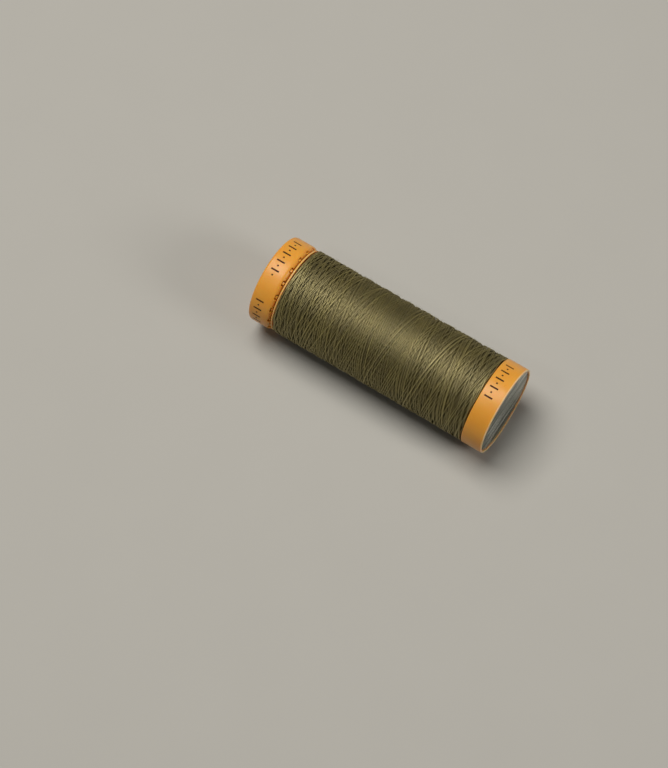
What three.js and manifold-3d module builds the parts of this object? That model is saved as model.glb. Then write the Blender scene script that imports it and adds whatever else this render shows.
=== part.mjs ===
// Spool of sewing thread, 20 mm across and 58 mm long, lying on its side.
// The axis runs along X: the snap cap is at -X, the plain end with its foil label at +X.
// Millimetres, +Z up, origin on the surface it lies on, under the middle of its length.
//
// A moulded core tube carries the winding between two thin flanges. A plain cap is pressed
// into one end. The snap cap slides 3 mm out of the other end: its crown of teeth then
// leaves the clamp flange, and the end of the thread is nipped when it is pushed home.

import * as THREE from 'three';
import * as BufferGeometryUtils from 'three/addons/utils/BufferGeometryUtils.js';
import Module from 'manifold-3d';

const wasm = await Module();
wasm.setup();

// ---- driving dimensions ----
const HALF_LENGTH = 29;          // half of the 58 mm over both ends
const RING_RADIUS = 10;          // both end rings
const SIDES = 32;                // flats round every turned piece, one of them level below

const CORE_RADIUS = 6.5;
const BORE_RADIUS = 5.4;         // inside of the core tube
const PIN_HOLE_RADIUS = 3.9;     // the hole that a sewing machine's spool pin enters

const PLAIN_RING_WIDTH = 4.9;
const SNAP_RING_WIDTH = 4.15;    // the straight part; its rounded shoulder comes after it
const SNAP_END_WIDTH = 5.9;      // ring, shoulder, crown and clamp flange together
const CLAMP_FLANGE_THICK = 0.4;
const CLAMP_FLANGE_RADIUS = 9.7;
const THREAD_DIAMETER = 0.2;
const NIP = 0.26;                // gap between crown and clamp flange that holds the thread

const WALL = 0.8;                // moulded wall of the end rings
const LABEL_RIM = 0.5;           // the plain ring's wall where it frames the label
const PLAIN_END_WALL = 1;
const CLEARANCE = 0.1;           // between a piece and the one it is pressed into
const EMBED = 0.3;               // how far an added rib or tooth reaches into its piece

const SNAP_RING_WALL = 1.1;      // thicker, because the shoulder is cut from it
const SNAP_CLEARANCE = 0.3;      // between the sliding sleeve and the core
const SNAP_TRAVEL = 3;
const CROWN_RADIUS = 8.95;       // where the shoulder ends, at the crown's edge
const TEETH = 18;
const TOOTH = { width: 0.7, length: 0.5, topRadius: 9.4, firstAngle: 13 };
const TOOTH_POCKET = { width: 1.3, floorRadius: 8.6 };  // the hollow that each tooth stands in

const LABEL_THICK = 0.1;
const LABEL_DEPTH = 0.3;         // how far the label's face lies inside the rim

// ---- stations along the axis ----
const SNAP_FACE = -HALF_LENGTH;
const SNAP_RING_END = SNAP_FACE + SNAP_RING_WIDTH;
const CLAMP_FLANGE_INNER = SNAP_FACE + SNAP_END_WIDTH;
const CLAMP_FLANGE_OUTER = CLAMP_FLANGE_INNER - CLAMP_FLANGE_THICK;
const CROWN_END = CLAMP_FLANGE_OUTER - NIP;
const PLAIN_FACE = HALF_LENGTH;
const PLAIN_RING_START = PLAIN_FACE - PLAIN_RING_WIDTH;
const LABEL_SEAT = PLAIN_FACE - LABEL_DEPTH - LABEL_THICK;

// ---- shapes ----

// A closed outline of [along X, radius] points, turned round the X axis.
// Radii are measured to the middle of a flat, so a ring's width is its true diameter.
function turned(outline) {
  const toCorner = 1 / Math.cos(Math.PI / SIDES);
  const points = outline.map(([x, radius]) => new THREE.Vector2(radius * toCorner, x));
  points.push(points[0].clone());
  const geometry = new THREE.LatheGeometry(points, SIDES);
  geometry.rotateY(Math.PI / SIDES);
  geometry.rotateZ(-Math.PI / 2);
  return geometry;
}

// An arc in an outline, from one angle to another in degrees, 0 being along +X.
// Its size is measured along X, and its height, if it is an ellipse's, across it.
function arc(x, radius, size, fromAngle, toAngle, steps, height = size) {
  const points = [];
  for (let i = 0; i <= steps; i += 1) {
    const angle = THREE.MathUtils.degToRad(fromAngle + (toAngle - fromAngle) * i / steps);
    points.push([x + size * Math.cos(angle), radius + height * Math.sin(angle)]);
  }
  return points;
}

// A box standing on the axis's side: from x0 to x1, from r0 to r1, turned by an angle in degrees.
function block(x0, x1, r0, r1, width, angle) {
  const geometry = new THREE.BoxGeometry(x1 - x0, r1 - r0, width);
  geometry.translate((x0 + x1) / 2, (r0 + r1) / 2, 0);
  geometry.rotateX(THREE.MathUtils.degToRad(angle));
  return geometry;
}

function toSolid(geometry) {
  const bare = geometry.clone();
  bare.deleteAttribute('normal');
  bare.deleteAttribute('uv');
  const merged = BufferGeometryUtils.mergeVertices(bare, 1e-4);
  return new wasm.Manifold(new wasm.Mesh({
    numProp: 3,
    vertProperties: new Float32Array(merged.attributes.position.array),
    triVerts: new Uint32Array(merged.index.array),
  }));
}

function toGeometry(solid) {
  const mesh = solid.getMesh();
  const geometry = new THREE.BufferGeometry();
  geometry.setAttribute('position', new THREE.BufferAttribute(mesh.vertProperties, 3));
  geometry.setIndex(new THREE.BufferAttribute(mesh.triVerts, 1));
  geometry.computeVertexNormals();
  return geometry;
}

// ---- core tube: tube, clamp flange at the snap end, plain flange at the other ----

const KEY = { start: -20.5, end: -17.5, depth: 0.8, width: 0.8, angles: [0, 180] };
const CORE_END = PLAIN_RING_START + 0.9;
const PLAIN_FLANGE_RADIUS = RING_RADIUS - WALL - CLEARANCE;
const DETENT = { depth: 0.15, width: 1.0, closed: -14.5 };

function detentGroove(middle) {
  const half = DETENT.width / 2;
  return [
    [middle + half, BORE_RADIUS],
    [middle + half - DETENT.depth, BORE_RADIUS + DETENT.depth],
    [middle - half + DETENT.depth, BORE_RADIUS + DETENT.depth],
    [middle - half, BORE_RADIUS],
  ];
}

function coreTube() {
  const rim = CLAMP_FLANGE_THICK / 2;
  let solid = toSolid(turned([
    [CLAMP_FLANGE_OUTER, BORE_RADIUS],
    ...arc(CLAMP_FLANGE_OUTER + rim, CLAMP_FLANGE_RADIUS - rim, rim, 180, 0, 4),
    [CLAMP_FLANGE_INNER, CORE_RADIUS],
    [PLAIN_RING_START, CORE_RADIUS],
    [PLAIN_RING_START, PLAIN_FLANGE_RADIUS],
    [CORE_END, PLAIN_FLANGE_RADIUS],
    [CORE_END, BORE_RADIUS],
    ...detentGroove(DETENT.closed),
    ...detentGroove(DETENT.closed - SNAP_TRAVEL),
  ]));
  for (const angle of KEY.angles) {
    const key = block(KEY.start, KEY.end, BORE_RADIUS - KEY.depth, BORE_RADIUS + EMBED,
      KEY.width, angle);
    solid = solid.add(toSolid(key));
  }
  return toGeometry(solid);
}

// ---- plain end cap: ring, end wall with the label's seat, spigot pressed into the core ----

const SPIGOT_LENGTH = 8;

function plainEndCap() {
  const edge = 0.12;
  const inside = RING_RADIUS - WALL;
  const rimInside = RING_RADIUS - LABEL_RIM;
  const wallBack = LABEL_SEAT - PLAIN_END_WALL;
  return turned([
    [PLAIN_RING_START, inside],
    [PLAIN_RING_START, RING_RADIUS - edge],
    [PLAIN_RING_START + edge, RING_RADIUS],
    ...arc(PLAIN_FACE - edge, RING_RADIUS - edge, edge, 90, 0, 2),
    [PLAIN_FACE, rimInside + edge],
    [PLAIN_FACE - edge, rimInside],
    [LABEL_SEAT, rimInside],
    [LABEL_SEAT, PIN_HOLE_RADIUS],
    [CORE_END - SPIGOT_LENGTH, PIN_HOLE_RADIUS],
    [CORE_END - SPIGOT_LENGTH, BORE_RADIUS - CLEARANCE],
    [wallBack, BORE_RADIUS - CLEARANCE],
    [wallBack, inside],
  ]);
}

// ---- plain end label: foil disc glued into the cap's recess, over the hole ----

function plainEndLabel() {
  const face = LABEL_SEAT + LABEL_THICK;
  const radius = (RING_RADIUS - LABEL_RIM - CLEARANCE) / Math.cos(Math.PI / SIDES);
  const geometry = new THREE.CylinderGeometry(radius, radius, LABEL_THICK, SIDES);
  geometry.rotateY(Math.PI / SIDES);
  geometry.rotateZ(-Math.PI / 2);
  geometry.translate(face - LABEL_THICK / 2, 0, 0);
  return geometry;
}

// ---- snap cap: ring, crown of teeth, end wall and the sleeve that slides in the core ----

const SLEEVE = { end: -14, slotStart: -21.2, slotWidth: 1.4, slotAngles: [0, 90] };
const END_WALL = 1.2;
const FACE_RECESS = { inner: 5.6, outer: 8.8, depth: 0.45 };
const FACE_RIB = { count: 6, width: 0.7, setBack: 0.1 };
const BARB = { height: 0.2, from: 1, crestFrom: 0.8, crestTo: 0.4 };  // back from the sleeve's end
const INSIDE_TAPER = { from: 0.8, to: 0.2 };  // the ring's inside narrows here, back from its edge

function snapCap() {
  const edge = 0.35;
  const shoulderLength = CROWN_END - SNAP_RING_END;
  const shoulderHeight = RING_RADIUS - CROWN_RADIUS;
  const inside = RING_RADIUS - SNAP_RING_WALL;
  const sleeveRadius = BORE_RADIUS - SNAP_CLEARANCE;
  const recessFloor = SNAP_FACE + FACE_RECESS.depth;
  const wallBack = recessFloor + END_WALL;
  const crownWall = CROWN_RADIUS - WALL;
  const taperEnd = SNAP_RING_END - INSIDE_TAPER.to;
  const taperStart = SNAP_RING_END - INSIDE_TAPER.from;
  let solid = toSolid(turned([
    [SNAP_FACE, PIN_HOLE_RADIUS],
    [SNAP_FACE, FACE_RECESS.inner],
    [recessFloor, FACE_RECESS.inner],
    [recessFloor, FACE_RECESS.outer],
    [SNAP_FACE, FACE_RECESS.outer],
    ...arc(SNAP_FACE + edge, RING_RADIUS - edge, edge, 180, 90, 3),
    ...arc(SNAP_RING_END, CROWN_RADIUS, shoulderLength, 90, 0, 5, shoulderHeight),
    [CROWN_END, crownWall],
    [taperEnd, crownWall],
    [taperStart, inside],
    [wallBack, inside],
    [wallBack, sleeveRadius],
    [SLEEVE.end - BARB.from, sleeveRadius],
    [SLEEVE.end - BARB.crestFrom, sleeveRadius + BARB.height],
    [SLEEVE.end - BARB.crestTo, sleeveRadius + BARB.height],
    [SLEEVE.end, sleeveRadius - BARB.height],
    [SLEEVE.end, PIN_HOLE_RADIUS],
  ]));

  const toothStart = CROWN_END - TOOTH.length;
  const toothRoot = (crownWall + TOOTH_POCKET.floorRadius) / 2;
  for (let i = 0; i < TEETH; i += 1) {
    const angle = TOOTH.firstAngle + 360 * i / TEETH;
    const pocket = block(toothStart, CROWN_END + NIP, TOOTH_POCKET.floorRadius, RING_RADIUS,
      TOOTH_POCKET.width, angle);
    const tooth = block(toothStart - EMBED, CROWN_END, toothRoot, TOOTH.topRadius,
      TOOTH.width, angle);
    solid = solid.subtract(toSolid(pocket)).add(toSolid(tooth));
  }

  for (let i = 0; i < FACE_RIB.count; i += 1) {
    const angle = 360 * (i + 0.5) / FACE_RIB.count;
    const rib = block(SNAP_FACE + FACE_RIB.setBack, recessFloor + EMBED, FACE_RECESS.inner - EMBED,
      FACE_RECESS.outer + EMBED, FACE_RIB.width, angle);
    solid = solid.add(toSolid(rib));
  }

  for (const angle of SLEEVE.slotAngles) {
    const slot = block(SLEEVE.slotStart, SLEEVE.end + 1, -BORE_RADIUS, BORE_RADIUS,
      SLEEVE.slotWidth, angle);
    solid = solid.subtract(toSolid(slot));
  }
  return toGeometry(solid);
}

// ---- thread winding: the cross-wound body of thread, a little fuller towards the snap end ----

const WINDING = { radiusSnapEnd: 9.75, radiusPlainEnd: 9.7, corner: 0.4 };

function threadWinding() {
  const gap = 0.05;
  const start = CLAMP_FLANGE_INNER + gap;
  const end = PLAIN_RING_START - gap;
  const corner = WINDING.corner;
  return turned([
    [start, CORE_RADIUS + gap],
    ...arc(start + corner, WINDING.radiusSnapEnd - corner, corner, 180, 90, 3),
    ...arc(end - corner, WINDING.radiusPlainEnd - corner, corner, 90, 0, 3),
    [end, CORE_RADIUS + gap],
  ]);
}

// ---- thread tail: the thread's end, over the clamp flange and into the nip ----

// Its route in [along X, radius, degrees]: along the winding, over the flange's rim, down into
// the nip behind a tooth's top, and round in it to where it is cut off.
const TAIL = { fromAngle: -34, overAngle: -12, endAngle: 22, fromX: -20.2, lift: 0.16, depth: 0.35 };
const TAIL_ON_WINDING_STEPS = 5;
const TAIL_BEND = [               // how it turns over the rim: degrees on from overAngle
  { turn: 2.5, aboveRim: 0.05 },
  { turn: 5, aboveRim: -0.12 },
  { turn: 8.5, aboveNip: 0.1 },
];
const TAIL_IN_NIP = { turn: 13, step: 5 };

function tailPoint(x, radius, degrees) {
  const angle = THREE.MathUtils.degToRad(degrees);
  return new THREE.Vector3(x, radius * Math.cos(angle), radius * Math.sin(angle));
}

function threadTail() {
  const onWinding = WINDING.radiusSnapEnd + TAIL.lift;
  const overRim = CLAMP_FLANGE_RADIUS + TAIL.lift;
  const nipX = CLAMP_FLANGE_OUTER - NIP / 2;
  const inNip = TOOTH.topRadius - TAIL.depth;
  const flangeMiddle = CLAMP_FLANGE_OUTER + CLAMP_FLANGE_THICK / 2;
  const [onRim, offRim, intoNip] = TAIL_BEND;
  const points = [];
  for (let step = 0; step <= TAIL_ON_WINDING_STEPS; step += 1) {
    const part = step / TAIL_ON_WINDING_STEPS;
    const x = TAIL.fromX + (CLAMP_FLANGE_INNER - TAIL.fromX) * part;
    const angle = TAIL.fromAngle + (TAIL.overAngle - TAIL.fromAngle) * part;
    points.push(tailPoint(x, onWinding, angle));
  }
  points.push(tailPoint(flangeMiddle, overRim + onRim.aboveRim, TAIL.overAngle + onRim.turn));
  points.push(tailPoint(nipX, overRim + offRim.aboveRim, TAIL.overAngle + offRim.turn));
  points.push(tailPoint(nipX, inNip + intoNip.aboveNip, TAIL.overAngle + intoNip.turn));
  const nipStart = TAIL.overAngle + TAIL_IN_NIP.turn;
  for (let angle = nipStart; angle <= TAIL.endAngle; angle += TAIL_IN_NIP.step) {
    points.push(tailPoint(nipX, inNip, angle));
  }
  const path = new THREE.CatmullRomCurve3(points);
  const section = new THREE.Shape();
  section.absarc(0, 0, THREAD_DIAMETER / 2, 0, Math.PI * 2);
  return new THREE.ExtrudeGeometry(section, { extrudePath: path, steps: 40, curveSegments: 8 });
}

// ---- assembly ----

function piece(name, geometry, colour, roughness, metalness) {
  const material = new THREE.MeshStandardMaterial({ color: colour, roughness, metalness });
  const mesh = new THREE.Mesh(geometry, material);
  mesh.name = name;
  return mesh;
}

const AMBER = 0xdf9640;
const OLIVE = 0x6f6744;
const FOIL = 0x9ba3a0;

const spool = new THREE.Group();
spool.position.z = RING_RADIUS;
spool.add(piece('core_tube', coreTube(), AMBER, 0.4, 0));
spool.add(piece('plain_end_cap', plainEndCap(), AMBER, 0.4, 0));
spool.add(piece('plain_end_label', plainEndLabel(), FOIL, 0.3, 0.8));
spool.add(piece('thread_winding', threadWinding(), OLIVE, 0.9, 0));
spool.add(piece('thread_tail', threadTail(), OLIVE, 0.9, 0));
spool.add(piece('snap_cap', snapCap(), AMBER, 0.4, 0));

export default spool;
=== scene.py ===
import math

import bmesh
import bpy
import numpy as np
from mathutils import Matrix, Vector


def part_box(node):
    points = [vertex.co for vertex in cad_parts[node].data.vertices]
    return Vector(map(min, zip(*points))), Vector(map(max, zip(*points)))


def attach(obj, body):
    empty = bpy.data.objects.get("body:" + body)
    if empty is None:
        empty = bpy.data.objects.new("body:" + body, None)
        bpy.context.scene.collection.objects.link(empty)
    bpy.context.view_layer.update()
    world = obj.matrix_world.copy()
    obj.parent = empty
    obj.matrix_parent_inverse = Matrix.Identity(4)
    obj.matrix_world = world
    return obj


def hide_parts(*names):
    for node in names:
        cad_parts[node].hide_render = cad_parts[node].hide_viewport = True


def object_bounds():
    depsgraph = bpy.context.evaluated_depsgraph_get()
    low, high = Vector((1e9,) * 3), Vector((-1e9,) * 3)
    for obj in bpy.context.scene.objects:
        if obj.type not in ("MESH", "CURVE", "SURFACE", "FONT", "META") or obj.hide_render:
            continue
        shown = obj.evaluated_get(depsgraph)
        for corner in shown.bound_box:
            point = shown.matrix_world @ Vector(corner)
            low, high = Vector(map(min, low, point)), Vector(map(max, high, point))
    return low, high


# A snap spool of olive cotton sewing thread with amber ends, lying on its side.
# Its axis runs along X at the height of a ring's radius: snap cap at -X, plain end at +X.

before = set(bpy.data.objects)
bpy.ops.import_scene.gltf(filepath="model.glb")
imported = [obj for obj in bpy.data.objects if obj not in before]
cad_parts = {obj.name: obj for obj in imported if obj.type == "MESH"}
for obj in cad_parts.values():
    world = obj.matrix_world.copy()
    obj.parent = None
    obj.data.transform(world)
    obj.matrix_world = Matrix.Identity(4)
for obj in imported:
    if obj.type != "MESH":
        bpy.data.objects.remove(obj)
cad_low, cad_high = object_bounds()
AXIS_HEIGHT = (cad_low.z + cad_high.z) / 2


# ---------------------------------------------------------------------------
# Camera: looks down at the spool from above its side, a little towards the plain end.
# It is slid sideways so that the spool lies right of and above the middle.
# ---------------------------------------------------------------------------
CAMERA_AZIMUTH = math.radians(32.74)
CAMERA_ELEVATION = math.radians(65.67)
CAMERA_DISTANCE = 0.5
CAMERA_SLIDE_RIGHT = -0.0115
CAMERA_SLIDE_UP = -0.0085
CAMERA_LENS = 110.7

camera_back = Vector((
    math.sin(CAMERA_AZIMUTH) * math.cos(CAMERA_ELEVATION),
    -math.cos(CAMERA_AZIMUTH) * math.cos(CAMERA_ELEVATION),
    math.sin(CAMERA_ELEVATION),
))
camera_right = Vector((math.cos(CAMERA_AZIMUTH), math.sin(CAMERA_AZIMUTH), 0))
camera_up = camera_back.cross(camera_right)

camera = bpy.data.objects.new("camera", bpy.data.cameras.new("camera"))
bpy.context.scene.collection.objects.link(camera)
camera.data.lens = CAMERA_LENS
camera_turn = Matrix((camera_right, camera_up, camera_back)).transposed().to_4x4()
camera_place = (Vector((0, 0, AXIS_HEIGHT)) + camera_back * CAMERA_DISTANCE
                + camera_right * CAMERA_SLIDE_RIGHT + camera_up * CAMERA_SLIDE_UP)
camera.matrix_world = Matrix.Translation(camera_place) @ camera_turn
bpy.context.scene.camera = camera


# ---------------------------------------------------------------------------
# Floor and studio light: a pale matt table under one soft light overhead, a small softbox
# on the camera's side, a weak fill beyond the plain end, and a dim room all round.
# ---------------------------------------------------------------------------
FLOOR_HALF_WIDTH = 1.5
FLOOR_COLOUR = (0.42, 0.41, 0.38, 1)
ROOM_COLOUR = (1.0, 0.97, 0.92, 1)
ROOM_STRENGTH = 0.02


def add_node(tree, kind, sockets=None, **settings):
    """One node of a tree; a socket takes either a plain value or another node's output."""
    node = tree.nodes.new(kind)
    for key, value in settings.items():
        setattr(node, key, value)
    for key, value in (sockets or {}).items():
        if isinstance(value, bpy.types.NodeSocket):
            tree.links.new(value, node.inputs[key])
        else:
            node.inputs[key].default_value = value
    return node


def new_material(name):
    """An empty node material, its tree, and the place on the piece that its patterns read."""
    material = bpy.data.materials.new(name)
    material.use_nodes = True
    tree = material.node_tree
    tree.nodes.clear()
    return material, tree, add_node(tree, "ShaderNodeTexCoord").outputs["Object"]


def noise(tree, place, scale, detail=2.0, roughness=0.5):
    """The value of a noise that is finer with a larger scale."""
    return add_node(tree, "ShaderNodeTexNoise", {
        "Vector": place, "Scale": scale, "Detail": detail, "Roughness": roughness}).outputs["Fac"]


def blend(tree, factor, colour, other):
    """A colour that turns into another as the factor rises."""
    return add_node(tree, "ShaderNodeMix", {"Factor": factor, "A": colour, "B": other},
                    data_type="RGBA").outputs["Result"]


def surface(tree, sockets):
    """Ends a material: its shader, wired to the output."""
    shader = add_node(tree, "ShaderNodeBsdfPrincipled", sockets)
    add_node(tree, "ShaderNodeOutputMaterial", {"Surface": shader.outputs["BSDF"]})


def matt_table():
    """Pale painted board with a barely seen mottle."""
    material, tree, place = new_material("matt_table")
    darker = tuple(0.97 * channel for channel in FLOOR_COLOUR[:3]) + (1,)
    tint = blend(tree, noise(tree, place, 60.0, 3.0), FLOOR_COLOUR, darker)
    surface(tree, {"Base Color": tint, "Roughness": 0.85, "Specular IOR Level": 0.2})
    return material


floor_mesh = bpy.data.meshes.new("floor")
edge = FLOOR_HALF_WIDTH
floor_mesh.from_pydata([(-edge, -edge, 0), (edge, -edge, 0), (edge, edge, 0), (-edge, edge, 0)],
                       [], [(0, 1, 2, 3)])
floor = bpy.data.objects.new("floor", floor_mesh)
bpy.context.scene.collection.objects.link(floor)
floor_mesh.materials.append(matt_table())


def soft_light(name, direction, distance, size, power, colour):
    """A rectangular area light that faces the spool from a direction."""
    light = bpy.data.lights.new(name, "AREA")
    light.shape = "RECTANGLE"
    light.size, light.size_y = size
    light.energy = power
    light.color = colour
    lamp = bpy.data.objects.new(name, light)
    bpy.context.scene.collection.objects.link(lamp)
    towards = Vector(direction).normalized()
    lamp.location = Vector((0, 0, AXIS_HEIGHT)) + towards * distance
    lamp.rotation_mode = "QUATERNION"
    lamp.rotation_quaternion = towards.to_track_quat("Z", "Y")


soft_light("overhead_light", (-0.30, 0.05, 0.95), 0.9, (0.54, 0.54), 8.2, (1.0, 0.97, 0.92))
soft_light("near_softbox", (-0.22, -0.50, 0.84), 0.8, (0.12, 0.09), 0.27, (1.0, 0.97, 0.93))
soft_light("end_fill", (0.84, 0.10, 0.52), 0.8, (0.26, 0.26), 1.9, (1.0, 0.98, 0.95))

room = bpy.data.worlds.new("room")
room.use_nodes = True
room.node_tree.nodes["Background"].inputs["Color"].default_value = ROOM_COLOUR
room.node_tree.nodes["Background"].inputs["Strength"].default_value = ROOM_STRENGTH
bpy.context.scene.world = room
bpy.context.scene.view_settings.view_transform = "Standard"


# ---------------------------------------------------------------------------
# Core tube: one amber moulding, a tube with a thin round-edged flange at each end of the
# winding. Its bore has two key ribs and two shallow grooves for the snap cap's fingers.
# ---------------------------------------------------------------------------
MM = 0.001
TURNED_SIDES = 160
CRISP_ABOVE_DEGREES = 32
CORE_RADIUS = 6.5
BORE_RADIUS = 5.4
CLAMP_FLANGE_THICK = 0.4
PLAIN_FLANGE_RADIUS = 9.1
PLAIN_FLANGE_GAP = 0.05
KEY_RIB_START = -20.5
KEY_RIB_LENGTH = 3.0
KEY_RIB_DEPTH = 0.8
KEY_RIB_WIDTH = 0.8
KEY_RIB_ROOT = 0.3
KEY_RIB_ANGLES = (0, math.pi)
DETENT_MIDDLES = (-14.5, -17.5)
DETENT_WIDTH = 1.0
DETENT_DEPTH = 0.15

AMBER = (0.75, 0.355, 0.060, 1)
AMBER_DEEP = (0.69, 0.29, 0.032, 1)
# paler amber: partly thin plastic, partly a painted highlight on thin rounded edges
AMBER_THIN_AND_HIGHLIGHT = (0.78, 0.50, 0.20, 1)
# pale amber painted on the plain cap's rim as a highlight where its bead catches light
AMBER_RIM_HIGHLIGHT = (0.86, 0.66, 0.42, 1)
AMBER_ROUGHNESS = 0.31
# how far the rim's painted highlight takes to fade in
RIM_HIGHLIGHT_WIDTH = 0.12


def ends_and_radius(node):
    """A turned CAD node's two ends along X and its radius, in millimetres."""
    low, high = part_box(node)
    return low.x / MM, high.x / MM, (high.z - low.z) / 2 / MM


def rounded(outline, steps=4):
    """A closed outline of (x, radius, fillet) corners with each corner eased by its fillet."""
    points = []
    for i, (x, radius, fillet) in enumerate(outline):
        corner_point = Vector((x, radius))
        if not fillet:
            points.append(corner_point)
            continue
        before = Vector(outline[i - 1][:2]) - corner_point
        after = Vector(outline[(i + 1) % len(outline)][:2]) - corner_point
        start = corner_point + before.normalized() * min(fillet, before.length / 2)
        end = corner_point + after.normalized() * min(fillet, after.length / 2)
        for k in range(steps + 1):
            t = k / steps
            points.append(start * (1 - t) ** 2 + corner_point * 2 * t * (1 - t) + end * t ** 2)
    return points


def turned(outline, sides=TURNED_SIDES):
    """A bmesh of a closed outline turned round the spool's axis, in metres."""
    shape = bmesh.new()
    rings = []
    for side in range(sides):
        angle = 2 * math.pi * side / sides
        rings.append([shape.verts.new((x * MM, radius * MM * math.cos(angle),
                                       AXIS_HEIGHT + radius * MM * math.sin(angle)))
                      for x, radius in outline])
    count = len(outline)
    for side in range(sides):
        here, there = rings[side], rings[(side + 1) % sides]
        for i in range(count):
            j = (i + 1) % count
            shape.faces.new((here[i], here[j], there[j], there[i]))
    bmesh.ops.recalc_face_normals(shape, faces=shape.faces)
    return shape


def shade_smooth(mesh):
    """Smooth shading, with the mesh's sharper edges kept crisp."""
    mesh.polygons.foreach_set("use_smooth", [True] * len(mesh.polygons))
    mesh.set_sharp_from_angle(angle=math.radians(CRISP_ABOVE_DEGREES))


def as_piece(name, shape, material):
    """The bmesh as a smooth-shaded object of one material."""
    mesh = bpy.data.meshes.new(name)
    shape.to_mesh(mesh)
    shape.free()
    mesh.materials.append(material)
    shade_smooth(mesh)
    piece = bpy.data.objects.new(name, mesh)
    bpy.context.scene.collection.objects.link(piece)
    return piece


def maths(tree, operation, *values):
    """The result of one sum on values in a node tree."""
    return add_node(tree, "ShaderNodeMath", dict(enumerate(values)), operation=operation).outputs[0]


def remap(tree, value, low, high, to_low, to_high):
    """A value's span from low to high stretched over another span, and held within it."""
    return add_node(tree, "ShaderNodeMapRange", {
        "Value": value, "From Min": low, "From Max": high, "To Min": to_low,
        "To Max": to_high}).outputs["Result"]


def amber_plastic(name, thin_and_highlight=0.0, rim_highlight_from=None):
    """Moulded amber plastic: light passes a millimetre in, faint flow clouds, fine satin grain.
    Thin plastic is painted paler, partly for its thinness and partly as a painted highlight on its rounded
    edges.
    Beyond a distance from the middle the rim is painted pale in patches, a painted highlight on the rim's
    bead."""
    material, tree, place = new_material(name)
    colour = blend(tree, noise(tree, place, 160.0, 3.0), AMBER_DEEP, AMBER)
    # paler where the plastic is thin, and partly a painted highlight on the flanges' rounded edges
    colour = blend(tree, thin_and_highlight, colour, AMBER_THIN_AND_HIGHLIGHT)
    scuffs_and_highlight_patches = noise(tree, place, 700.0, 6.0, 0.7)
    shine = remap(tree, scuffs_and_highlight_patches, 0.3, 0.7, AMBER_ROUGHNESS - 0.06, AMBER_ROUGHNESS + 0.1)
    grain = add_node(tree, "ShaderNodeBump", {"Height": noise(tree, place, 5200.0, 2.0),
                     "Strength": 0.35, "Distance": 0.00001})
    # painted highlight: the rim turns pale in patches from a distance out, where its bead would catch light
    if rim_highlight_from:
        along = add_node(tree, "ShaderNodeSeparateXYZ", {"Vector": place}).outputs["X"]
        rim = remap(tree, maths(tree, "ABSOLUTE", along), rim_highlight_from * MM,
                    (rim_highlight_from + RIM_HIGHLIGHT_WIDTH) * MM, 0.0, 1.2)
        colour = blend(tree, maths(tree, "MULTIPLY", rim, scuffs_and_highlight_patches), colour, AMBER_RIM_HIGHLIGHT)
    surface(tree, {
        "Base Color": colour, "Roughness": shine, "Normal": grain.outputs["Normal"], "IOR": 1.5,
        "Specular IOR Level": 0.3, "Subsurface Weight": 0.35,
        "Subsurface Radius": (1.0, 0.36, 0.10), "Subsurface Scale": 0.0016})
    return material


def block(shape, x_span, radial_span, width, angle):
    """Adds a plain block to a bmesh, standing on the axis's side at an angle from +Y."""
    size = (x_span[1] - x_span[0], radial_span[1] - radial_span[0], width)
    middle = Vector(((x_span[0] + x_span[1]) / 2, (radial_span[0] + radial_span[1]) / 2, 0))
    place = (Matrix.Translation((0, 0, AXIS_HEIGHT)) @ Matrix.Rotation(angle, 4, "X")
             @ Matrix.Translation(middle * MM) @ Matrix.Diagonal((*(s * MM for s in size), 1)))
    bmesh.ops.create_cube(shape, size=1, matrix=place)


core_start, core_end, clamp_flange_radius = ends_and_radius("core_tube")
winding_start, winding_end, winding_radius = ends_and_radius("thread_winding")
plain_flange_start = winding_end + PLAIN_FLANGE_GAP
detent_half = DETENT_WIDTH / 2
detent_floor = BORE_RADIUS + DETENT_DEPTH

core_outline = [
    (core_start, BORE_RADIUS, 0.1), (core_start, clamp_flange_radius, 0.19),
    (core_start + CLAMP_FLANGE_THICK, clamp_flange_radius, 0.19),
    (core_start + CLAMP_FLANGE_THICK, CORE_RADIUS, 0.2), (plain_flange_start, CORE_RADIUS, 0.2),
    (plain_flange_start, PLAIN_FLANGE_RADIUS, 0.1), (core_end, PLAIN_FLANGE_RADIUS, 0.1),
    (core_end, BORE_RADIUS, 0.1)]
for detent_middle in DETENT_MIDDLES:
    core_outline += [(detent_middle + detent_half, BORE_RADIUS, 0.1),
                     (detent_middle + detent_half - DETENT_DEPTH, detent_floor, 0.1),
                     (detent_middle - detent_half + DETENT_DEPTH, detent_floor, 0.1),
                     (detent_middle - detent_half, BORE_RADIUS, 0.1)]
core_shape = turned(rounded(core_outline))
for key_angle in KEY_RIB_ANGLES:
    block(core_shape, (KEY_RIB_START, KEY_RIB_START + KEY_RIB_LENGTH),
          (BORE_RADIUS - KEY_RIB_DEPTH, BORE_RADIUS + KEY_RIB_ROOT), KEY_RIB_WIDTH, key_angle)
# the core is painted paler: partly its thin flanges, partly a painted highlight on their edges
core = as_piece("core_moulding", core_shape, amber_plastic("amber_core", thin_and_highlight=0.55))
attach(core, "spool")
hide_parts("core_tube")


# ---------------------------------------------------------------------------
# Plain end cap: a second amber moulding, a ring with a beaded rim, an end wall set back
# for the label and a spigot pressed into the core. The ring hides the core's flange.
# ---------------------------------------------------------------------------
PIN_HOLE_RADIUS = 3.9
RING_WALL = 0.8
LABEL_RIM = 0.5
END_WALL = 1.0
PRESS_CLEARANCE = 0.1
# how far in from the cap's face the rim's painted highlight starts
RIM_HIGHLIGHT_INSET = 0.3

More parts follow.
